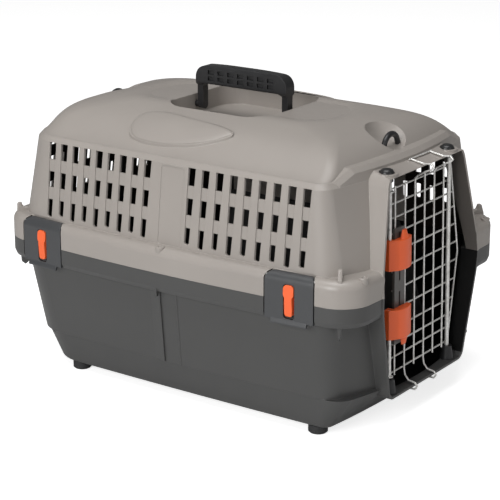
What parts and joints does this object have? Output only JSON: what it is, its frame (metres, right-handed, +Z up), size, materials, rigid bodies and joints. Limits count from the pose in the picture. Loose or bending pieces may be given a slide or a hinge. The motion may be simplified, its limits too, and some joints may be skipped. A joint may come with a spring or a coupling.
{
  "type": "pet transport carrier",
  "caption": "Hard-shell pet carrier with a vented upper shell, dark base, hinged wire door with squeeze bolts, fold-down carry handle and side clips with sliding locks",
  "frame": {"origin": "on the ground under the middle of the carrier", "axes": "+X out of the door, +Y to the carrier's left, +Z up"},
  "size_m": [0.4991, 0.3504, 0.3615],
  "materials": {
    "taupe_plastic": "fine even texture",
    "dark_plastic": "fine even texture",
    "latch_plastic": "satin",
    "orange_plastic": "satin",
    "black_plastic": "satin",
    "grey_plastic": "satin",
    "zinc_wire": "bright zinc plate",
    "rubber": "matt"
  },
  "bodies": {
    "carrier": {"base_shell": "dark_plastic", "top_shell": "taupe_plastic", "strap_eyelet_front": "black_plastic", "strap_eyelet_rear": "black_plastic", "hinge_bush_top": "black_plastic", "hinge_bush_bottom": "black_plastic", "latch_bush_top": "black_plastic", "latch_bush_bottom": "black_plastic", "latch_pin_front_right": "zinc_wire", "latch_pin_front_left": "zinc_wire", "latch_pin_rear_right": "zinc_wire", "latch_pin_rear_left": "zinc_wire", "foot_front_right": "rubber", "foot_front_left": "rubber", "foot_rear_right": "rubber", "foot_rear_left": "rubber"},
    "handle": {"carry_handle": "black_plastic"},
    "door": {"door_grid": "zinc_wire", "hinge_rod": "zinc_wire", "latch_track": "grey_plastic"},
    "upper_bolt": {"upper_knob": "orange_plastic", "upper_latch_rod": "zinc_wire"},
    "lower_bolt": {"lower_knob": "orange_plastic", "lower_latch_rod": "zinc_wire"},
    "clip_front_right": {"side_latch_front_right": "latch_plastic"},
    "lock_front_right": {"latch_lock_front_right": "orange_plastic"},
    "clip_front_left": {"side_latch_front_left": "latch_plastic"},
    "lock_front_left": {"latch_lock_front_left": "orange_plastic"},
    "clip_rear_right": {"side_latch_rear_right": "latch_plastic"},
    "lock_rear_right": {"latch_lock_rear_right": "orange_plastic"},
    "clip_rear_left": {"side_latch_rear_left": "latch_plastic"},
    "lock_rear_left": {"latch_lock_rear_left": "orange_plastic"}
  },
  "joints": [
    {"name": "handle_fold", "type": "hinge", "parent": "carrier", "child": "handle", "pos_m": [-0.008, 0, 0.3115], "axis": [1, 0, 0], "range_deg": [-88, 88]},
    {"name": "door_swing", "type": "hinge", "parent": "carrier", "child": "door", "pos_m": [0.23095, 0.065, 0.16004], "axis": [-0.022, 0, 0.9998], "range_deg": [0, 130]},
    {"name": "upper_knob_slide", "type": "slide", "parent": "door", "child": "upper_bolt", "axis": [0.022, 0, -0.9998], "range_m": [0, 0.012], "stiffness_N_per_m": 150, "springref_m": -0.015},
    {"name": "lower_knob_slide", "type": "slide", "parent": "door", "child": "lower_bolt", "axis": [-0.022, 0, 0.9998], "range_m": [0, 0.012], "stiffness_N_per_m": 150, "springref_m": -0.015},
    {"name": "side_latch_front_right_swing", "type": "hinge", "parent": "carrier", "child": "clip_front_right", "pos_m": [0.1692, -0.16513, 0.1845], "axis": [-0.9979, -0.0646, 0], "range_deg": [0, 65]},
    {"name": "latch_lock_front_right_slide", "type": "slide", "parent": "clip_front_right", "child": "lock_front_right", "axis": [0, 0, -1], "range_m": [0, 0.0028]},
    {"name": "side_latch_front_left_swing", "type": "hinge", "parent": "carrier", "child": "clip_front_left", "pos_m": [0.1692, 0.16513, 0.1845], "axis": [0.9979, -0.0646, 0], "range_deg": [0, 65]},
    {"name": "latch_lock_front_left_slide", "type": "slide", "parent": "clip_front_left", "child": "lock_front_left", "axis": [0, 0, -1], "range_m": [0, 0.0028]},
    {"name": "side_latch_rear_right_swing", "type": "hinge", "parent": "carrier", "child": "clip_rear_right", "pos_m": [-0.17739, -0.16459, 0.1845], "axis": [-0.9977, 0.0677, 0], "range_deg": [0, 65]},
    {"name": "latch_lock_rear_right_slide", "type": "slide", "parent": "clip_rear_right", "child": "lock_rear_right", "axis": [0, 0, -1], "range_m": [0, 0.0028]},
    {"name": "side_latch_rear_left_swing", "type": "hinge", "parent": "carrier", "child": "clip_rear_left", "pos_m": [-0.17739, 0.16459, 0.1845], "axis": [0.9977, 0.0677, 0], "range_deg": [0, 65]},
    {"name": "latch_lock_rear_left_slide", "type": "slide", "parent": "clip_rear_left", "child": "lock_rear_left", "axis": [0, 0, -1], "range_m": [0, 0.0028]}
  ]
}
